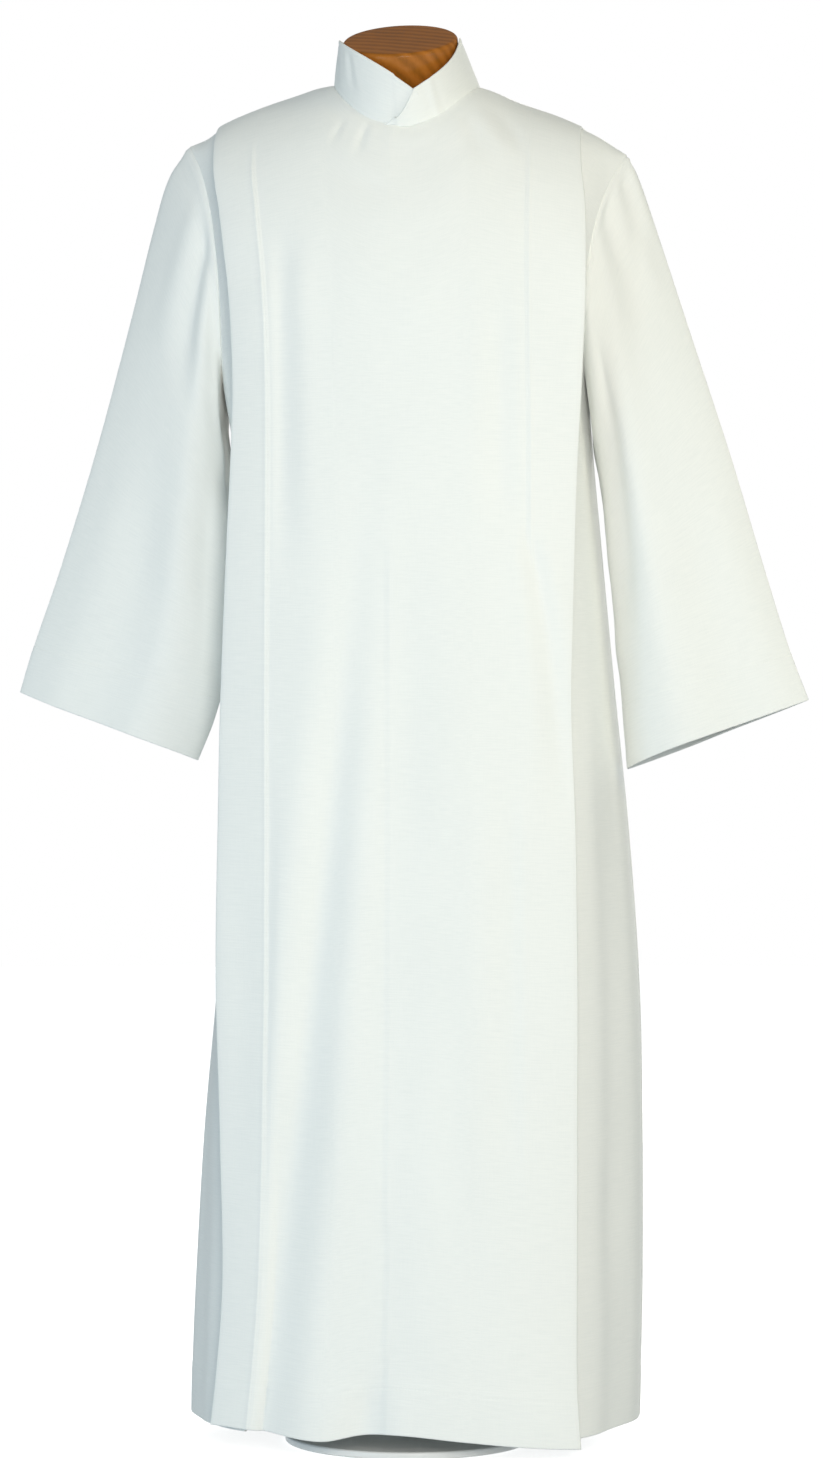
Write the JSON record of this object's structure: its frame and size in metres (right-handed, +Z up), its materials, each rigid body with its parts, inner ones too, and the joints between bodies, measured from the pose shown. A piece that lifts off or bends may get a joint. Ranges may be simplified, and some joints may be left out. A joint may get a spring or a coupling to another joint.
{
  "type": "alb robe on a dress form",
  "caption": "Long plain liturgical robe with a crossed standing collar, stitched front pleats and wide open sleeves, on a limbless dress form with a round base.",
  "frame": {"origin": "centre of the base's underside, on the floor, under the pole", "axes": "+Z up, -Y the way the robe faces, +X towards the wearer's left"},
  "size_m": [0.8412, 0.3346, 1.5001],
  "materials": {
    "alb_cloth": "plain-weave white cloth with fine level slubs like linen, matt",
    "form_cloth": "plain cotton jersey cover, matt",
    "neck_wood": "varnished orange-brown wood, glossy",
    "stand_metal": "white paint, satin"
  },
  "bodies": {
    "root": {"centre_front": "alb_cloth", "side_front_right": "alb_cloth", "side_front_left": "alb_cloth", "back": "alb_cloth", "sleeve_right": "alb_cloth", "sleeve_left": "alb_cloth", "collar": "alb_cloth", "form_torso": "form_cloth", "neck_block": "neck_wood", "pole": "stand_metal", "base": "stand_metal"}
  },
  "joints": []
}
